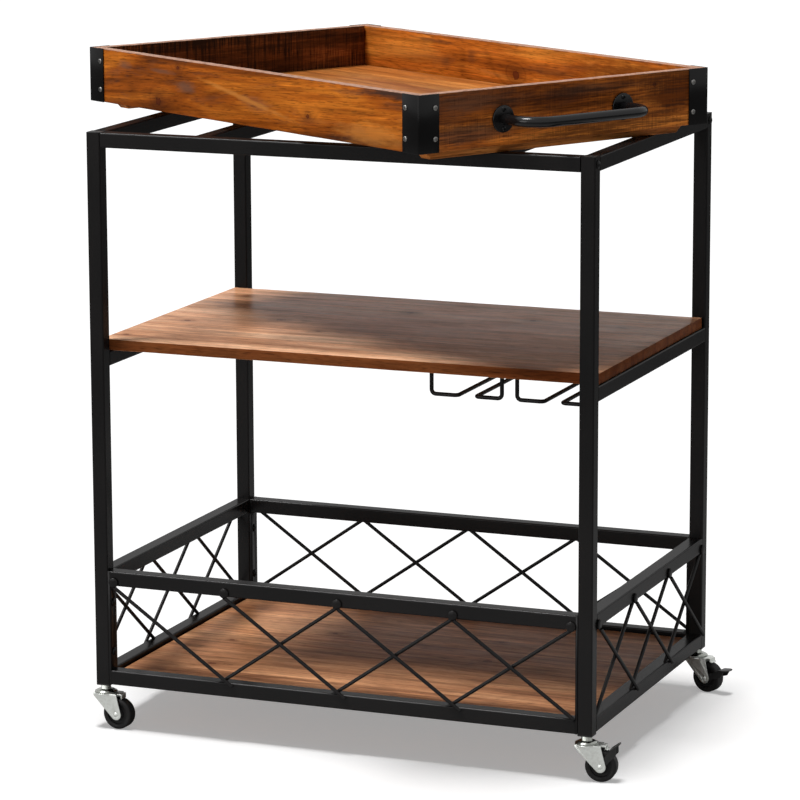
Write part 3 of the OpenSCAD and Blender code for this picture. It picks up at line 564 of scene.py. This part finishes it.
def copies(name, original, places):
    """The original copied to each place, given as turns and a spot, and joined; it goes itself."""
    made = []
    for k, (turns, spot) in enumerate(places):
        piece = twin(f"{name}_{k}", original.data)
        for turn in turns:
            settle(piece, turn)
        settle(piece, at=spot)
        made.append(piece)
    bpy.data.objects.remove(original)
    return join(name, made)


def fit(piece, material, body, node):
    """Gives the piece its finish and lets it stand for its CAD node on its body."""
    piece.data.materials.clear()
    piece.data.materials.append(material)
    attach(piece, body)
    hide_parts(node)


def softened(node, width, material):
    """A copy of a CAD node whose sharp edges are rounded."""
    solid = frame["nodes"][node]
    piece = twin(node + "_soft", solid.data)
    pick(piece, "FACE", lambda face: True)
    bpy.ops.mesh.remove_doubles(threshold=0.001 * MM)
    bpy.ops.mesh.dissolve_limited(angle_limit=math.radians(0.5))
    leave_edit()
    round_edges(piece, width, 2)
    fit(piece, material, solid["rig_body"], node)


# ---------- boards ----------

BOARD_CUTS = 44
planed = bpy.data.textures.new("planed_unevenly", "CLOUDS")
planed.noise_scale = 45 * MM
planed.noise_depth = 2


def board(name, low, high, edge=1.3 * MM, waste=0.5 * MM):
    """A plank between two corners, longest along X or Y, its edges rounded and worn."""
    plank = block(name, low, high)
    size = [b - a for a, b in zip(low, high)]
    axis, half = size.index(max(size)), max(size) / 2
    pick(plank, "EDGE", lambda edge: abs((edge.verts[0].co - edge.verts[1].co)[axis]) > half)
    bpy.ops.mesh.subdivide(number_cuts=BOARD_CUTS)
    leave_edit()
    round_edges(plank, edge)
    modify(plank, "DISPLACE", texture=planed, texture_coords="LOCAL", strength=waste,
           mid_level=1.0)
    return plank


def tray_walls():
    half_l, half_w = TRAY_L / 2, TRAY_W / 2
    end_w = half_w - WALL_T - FLOOR_PLAY
    top = TRAY_Z + WALL_H
    for side, node, material in ((-1, "tray_wall_front", front_board),
                                 (1, "tray_wall_back", back_board)):
        faces = sorted((side * (half_w - WALL_T), side * half_w))
        plank = board(node.removeprefix("tray_") + "_board", (-half_l, faces[0], TRAY_Z),
                      (half_l, faces[1], top))
        lay_with_tray(plank)
        fit(plank, material, "tray", node)
    for side, node, material in ((-1, "tray_wall_left", left_board),
                                 (1, "tray_wall_right", right_board)):
        faces = sorted((side * (half_l - WALL_T), side * half_l))
        plank = board(node.removeprefix("tray_") + "_board", (faces[0], -end_w, TRAY_Z),
                      (faces[1], end_w, top), waste=0.7 * MM)
        lay_with_tray(plank)
        fit(plank, material, "tray", node)


def tray_bottom_board():
    reach_l = TRAY_L / 2 - WALL_T - 2 * FLOOR_PLAY
    reach_w = TRAY_W / 2 - WALL_T - 2 * FLOOR_PLAY
    low = TRAY_Z + FLOOR_UP
    plank = board("bottom_board", (-reach_l, -reach_w, low), (reach_l, reach_w, low + FLOOR_T),
                  edge=0.5 * MM, waste=0.2 * MM)
    lay_with_tray(plank)
    fit(plank, tray_bottom, "tray", "tray_floor")


def batten_pair():
    """Battens under the tray's floor, with both lower ends cut to a slope."""
    reach = TRAY_W / 2 - BATTEN_END
    low, high = TRAY_Z - BATTEN_DROP, TRAY_Z + FLOOR_UP

    def lower_end(edge):
        return (all(corner.co.z < TRAY_Z - BATTEN_DROP / 2 for corner in edge.verts)
                and abs(edge.verts[0].co.y - edge.verts[1].co.y) < MM)

    battens = []
    for side in (-1, 1):
        x = side * (TRAY_L / 2 - BATTEN_IN)
        strip = block("batten", (x - BATTEN_W / 2, -reach, low), (x + BATTEN_W / 2, reach, high))
        pick(strip, "EDGE", lower_end)
        bpy.ops.mesh.bevel(offset=BATTEN_SLOPE, segments=1)
        leave_edit()
        round_edges(strip, 0.8 * MM)
        battens.append(strip)
    pair = join("batten_pair", battens)
    lay_with_tray(pair)
    fit(pair, batten_wood, "tray", "tray_battens")


def shelves():
    for node, material in (("middle_shelf", shelf_wood), ("lower_shelf", lower_wood)):
        plank = board(node + "_board", *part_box(node), edge=1.0 * MM)
        fit(plank, material, "frame", node)


# ---------- tray hardware ----------

SCREW_SIDES, BAR_SIDES, FLANGE_SIDES, BEND_STEPS = 28, 28, 48, 12
# a screw's dome in heads' heights, and its recess in heads' widths and heights
DOME, RECESS_L, RECESS_W, RECESS_H = 0.85, 0.55, 0.15, 1.1


def screw_head(width, height):
    """A domed head that stands on z = 0 and faces +Z, with a cross recess."""
    head = begin("cylinder", "head", vertices=SCREW_SIDES, radius=width / 2, depth=height,
                 location=(0, 0, height / 2))
    pick(head, "FACE", lambda face: face.normal.z > 0.9)
    bpy.ops.mesh.bevel(offset=height * DOME, segments=4, affect="EDGES")
    leave_edit()
    for turn in (0, QUARTER_TURN):
        slot = begin("cube", "slot", size=1, location=(0, 0, height), rotation=(0, 0, turn),
                     scale=(width * RECESS_L, width * RECESS_W, height * RECESS_H))
        modify(head, "BOOLEAN", object=slot, operation="DIFFERENCE", solver="EXACT")
        bpy.data.objects.remove(slot)
    alone(head)
    smooth(35)
    return head


def facing_out(angle):
    """Turns that lay a piece that faces +Z down towards +X and then round to the angle."""
    return ((0, QUARTER_TURN, 0), (0, 0, angle))


def corner_brackets():
    """Folded sheet round each corner of the tray, with four screws."""
    leg = BRACKET_LEG
    sheet = block("bracket", (-leg, -leg, TRAY_Z), (0, 0, TRAY_Z + WALL_H))
    pick(sheet, "FACE", lambda face: face.normal.x < 0.5 and face.normal.y < 0.5)
    bpy.ops.mesh.delete(type="FACE")
    pick(sheet, "EDGE", lambda edge: all(min(corner.co.xy) > -MM for corner in edge.verts))
    bpy.ops.mesh.bevel(offset=BRACKET_BEND, segments=5)
    leave_edit()
    modify(sheet, "SOLIDIFY", thickness=BRACKET_T, offset=-1)
    round_edges(sheet, 0.3 * MM, 2)
    reach_l, reach_w = TRAY_L / 2 + BRACKET_T, TRAY_W / 2 + BRACKET_T
    corners = ((reach_l, reach_w), (-reach_l, reach_w), (-reach_l, -reach_w), (reach_l, -reach_w))
    places = [([(0, 0, k * QUARTER_TURN)], (x, y, 0)) for k, (x, y) in enumerate(corners)]
    brackets = copies("corner_brackets", sheet, places)
    lay_with_tray(brackets)
    fit(brackets, bracket_steel, "tray", "tray_corners")

    places = []
    for sx in (-1, 1):
        for sy in (-1, 1):
            for rise in (-0.5, 0.5):
                z = TRAY_Z + WALL_H / 2 + rise * BRACKET_SCREW_GAP
                on_long = (sx * (TRAY_L / 2 - BRACKET_SCREW_IN), sy * reach_w, z)
                on_end = (sx * reach_l, sy * (TRAY_W / 2 - BRACKET_SCREW_IN), z)
                places.append((facing_out(sy * QUARTER_TURN), on_long))
                places.append((facing_out(0 if sx > 0 else HALF_TURN), on_end))
    heads = copies("bracket_screws", screw_head(BRACKET_SCREW_D, SCREW_HEAD_H), places)
    lay_with_tray(heads)
    fit(heads, screw_steel, "tray", "corner_screws")


def bent_bar():
    """A handle's bar: a tube out from the wall, round two bends and back."""
    leg = HANDLE_OUT - HANDLE_BEND
    half = HANDLE_SPAN / 2
    bar = begin("circle", "bar", vertices=BAR_SIDES, radius=HANDLE_D / 2,
                location=(0, -half, 0), rotation=(0, QUARTER_TURN, 0))

    def pull(*way):
        bpy.ops.mesh.extrude_region_move(TRANSFORM_OT_translate={"value": way})

    def bend(y):
        bpy.ops.mesh.spin(steps=BEND_STEPS, angle=-QUARTER_TURN, center=(leg, y, 0),
                          axis=(0, 0, 1))

    pick(bar, "EDGE", lambda edge: True)
    pull(leg, 0, 0)
    bend(HANDLE_BEND - half)
    pull(0, 2 * (half - HANDLE_BEND), 0)
    bend(half - HANDLE_BEND)
    pull(-leg, 0, 0)
    bpy.ops.mesh.select_all(action="SELECT")
    bpy.ops.mesh.remove_doubles(threshold=0.01 * MM)
    bpy.ops.mesh.fill_holes(sides=0)
    bpy.ops.mesh.normals_make_consistent(inside=False)
    leave_edit()
    smooth(40)
    return bar


def handles():
    """A bent bar on two round flanges at each end of the tray, with four screws."""
    handle_z = TRAY_Z + WALL_H / 2 - HANDLE_DOWN
    for side, node in ((1, "tray_handle_right"), (-1, "tray_handle_left")):
        parts = [bent_bar()]
        for end in (-1, 1):
            flange = begin("cylinder", "flange", vertices=FLANGE_SIDES, radius=FLANGE_D / 2,
                           depth=FLANGE_T, rotation=(0, QUARTER_TURN, 0),
                           location=(FLANGE_T / 2, end * HANDLE_SPAN / 2, 0))
            round_edges(flange, 1.0 * MM, 4, 60)
            parts.append(flange)
        handle = join(node.removeprefix("tray_"), parts)
        settle(handle, at=(TRAY_L / 2, -side * HANDLE_ASIDE, handle_z))
        lay_with_tray(handle, 0 if side > 0 else HALF_TURN)
        fit(handle, handle_steel, "tray", node)
    places = []
    for sx in (-1, 1):
        for sy in (-1, 1):
            for sz in (-1, 1):
                spot = (sx * (TRAY_L / 2 + FLANGE_T), sy * HANDLE_SPAN / 2 - HANDLE_ASIDE,
                        handle_z + sz * FLANGE_SCREW)
                places.append((facing_out(0 if sx > 0 else HALF_TURN), spot))
    heads = copies("flange_screws", screw_head(FLANGE_SCREW_D, SCREW_HEAD_H), places)
    lay_with_tray(heads)
    fit(heads, handle_steel, "tray", "handle_screws")


# ---------- casters ----------

WHEEL_SIDES = 72
PLATE_EDGE, TURNED_EDGE = 0.25 * MM, 0.3 * MM


def caster_wheel(node, hub_step, turn):
    """A wheel: tyre with round shoulders, sunk web and raised hub on both sides."""
    low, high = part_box(node)
    wheel = begin("cylinder", node + "_tyre", vertices=WHEEL_SIDES, radius=WHEEL_D / 2,
                  depth=WHEEL_W)
    round_edges(wheel, TYRE_ROUND, 4, 60)
    pick(wheel, "FACE", lambda face: abs(face.normal.z) > 0.99)
    for inwards, up in WHEEL_STEPS + (hub_step,):
        bpy.ops.mesh.inset(thickness=inwards * MM, depth=up * MM, use_individual=True)
    leave_edit()
    round_edges(wheel, 0.25 * MM, 2, 30)
    settle(wheel, (QUARTER_TURN, 0, 0))
    settle(wheel, (0, 0, math.radians(turn)))
    settle(wheel, at=[(a + b) / 2 for a, b in zip(low, high)])
    fit(wheel, rubber, frame["nodes"][node]["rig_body"], node)


def casters():
    for place, hub_step, turn in (
            ("front_left", HUB_STEP, -3), ("front_right", BRAKED_HUB_STEP, 6),
            ("back_left", HUB_STEP, 8), ("back_right", BRAKED_HUB_STEP, -16)):
        caster_wheel("wheel_" + place, hub_step, turn)
        softened("fork_" + place, PLATE_EDGE, zinc)
        softened("axle_" + place, TURNED_EDGE, zinc)
    for lever in ("brake_lever_front", "brake_lever_back"):
        softened(lever, PLATE_EDGE, pedal_black)
    softened("caster_stems", TURNED_EDGE, race_steel)


# ---------- frame hardware ----------

def frame_hardware():
    for node, width, material, slot in (
            ("lattice_discs", 1.0, steel, "black_frame"),
            ("gallery_plates", 0.4, steel, "black_frame"),
            ("frame_bolts", 0.8, steel, "black_frame"),
            ("post_caps", 0.7, plastic, "black_plastic"),
            ("shelf_tabs", 0.3, steel, "black_frame"),
            ("rack_straps", 0.3, steel, "black_frame")):
        softened(node, width * MM, material)


tray_walls()
tray_bottom_board()
batten_pair()
shelves()
corner_brackets()
handles()
casters()
frame_hardware()


# ---------- floor, light and camera ----------

WORLD_LIGHT = 0.09
FLOOR_WHITE, FLOOR_BOUNCE, FLOOR_LIFT = 0.86, 0.8, 0.33
# the floor's white in what mirrors it, from near the cart to far from it
NEAR, FAR_OFF, NEAR_WHITE, FAR_WHITE = 0.9, 2.6, 1.0, 0.25


def studio_floor():
    """A wide white floor, whose shadow stays."""
    floor = begin("plane", "studio_floor", size=80)
    pale = bpy.data.materials.new("floor_white")
    pale.use_nodes = True
    own = pale.node_tree.nodes
    own.remove(own["Principled BSDF"])
    nodes = Nodes(pale.node_tree)
    seen = nodes.add("LightPath", out="Is Camera Ray")
    spot = nodes.add("TexCoord", out="Object")
    away = nodes.add("VectorMath", {0: spot}, out="Value", operation="LENGTH")
    fade = nodes.add("MapRange", {"Value": away, "From Min": NEAR, "From Max": FAR_OFF,
                                  "To Min": NEAR_WHITE, "To Max": FAR_WHITE})
    mirrored = nodes.add("LightPath", out="Is Glossy Ray")
    dimmed = nodes.add("Mix", {0: mirrored, 2: 1.0, 3: fade})
    white = nodes.math("MULTIPLY", nodes.between(seen, FLOOR_BOUNCE, FLOOR_WHITE), dimmed)
    paint = nodes.add("BsdfDiffuse", {"Color": white})
    glow = nodes.add("Emission", {"Strength": nodes.math("MULTIPLY", seen, FLOOR_LIFT)})
    both = nodes.add("AddShader", {0: paint, 1: glow})
    nodes.put(own["Material Output"].inputs["Surface"], both)
    floor.data.materials.append(pale)
    return floor


def studio_world():
    """A surround that lights softly, and is white to the camera, in metal and through glass."""
    world = bpy.data.worlds.new("studio_world")
    bpy.context.scene.world = world
    world.use_nodes = True
    nodes = Nodes(world.node_tree)
    seen = nodes.add("LightPath", out="Is Camera Ray")
    for ray in ("Is Glossy Ray", "Is Transmission Ray"):
        seen = nodes.math("MAXIMUM", seen, nodes.add("LightPath", out=ray))
    background = world.node_tree.nodes["Background"].inputs
    nodes.put(background["Strength"], nodes.between(seen, WORLD_LIGHT, 1.0))
    nodes.put(background["Color"], (1, 1, 1, 1))


def sun(floor, name, travel, strength, spread, lights_floor):
    """A far, wide lamp whose light travels along a direction, for the floor or for all but it."""
    data = bpy.data.lights.new(name, "SUN")
    data.energy = strength
    data.angle = math.radians(spread)
    made = bpy.data.objects.new(name, data)
    bpy.context.scene.collection.objects.link(made)
    made.rotation_euler = Vector(travel).to_track_quat("-Z", "Y").to_euler()
    lit = bpy.data.collections.new(name + "_lights")
    lit.objects.link(floor)
    lit.collection_objects[0].light_linking.link_state = "INCLUDE" if lights_floor else "EXCLUDE"
    made.light_linking.receiver_collection = lit


floor = studio_floor()
studio_world()
for lamp in (("key", (0.38, 0.25, -1.0), 3.8, 19, False),
             ("front_fill", (0.5, 0.8, -0.12), 0.6, 30, False),
             ("overhead", (0.04, 0.06, -1.0), 2.6, 15, True)):
    sun(floor, *lamp)

CAMERA_YAW, CAMERA_PITCH, CAMERA_ROLL = (math.radians(a) for a in (21.837, -11.33, -0.187))
CAMERA_LENS, CAMERA_SENSOR = 175.5, 36
CAMERA_FROM_CART = Vector((1.93004, -4.83627, 1.47653))

camera_data = bpy.data.cameras.new("camera")
camera_data.lens = CAMERA_LENS
camera_data.sensor_width = CAMERA_SENSOR
camera = bpy.data.objects.new("camera", camera_data)
bpy.context.scene.collection.objects.link(camera)
camera.location = Vector((CART_X, CART_Y, 0)) + CAMERA_FROM_CART
camera.rotation_mode = "XYZ"
level = math.cos(CAMERA_PITCH)
ahead = Vector((-math.sin(CAMERA_YAW) * level, math.cos(CAMERA_YAW) * level,
                math.sin(CAMERA_PITCH)))
facing = ahead.to_track_quat("-Z", "Y")
facing.rotate(Quaternion(ahead, -CAMERA_ROLL))
camera.rotation_euler = facing.to_euler()
bpy.context.scene.camera = camera
bpy.context.scene.view_settings.view_transform = "Standard"
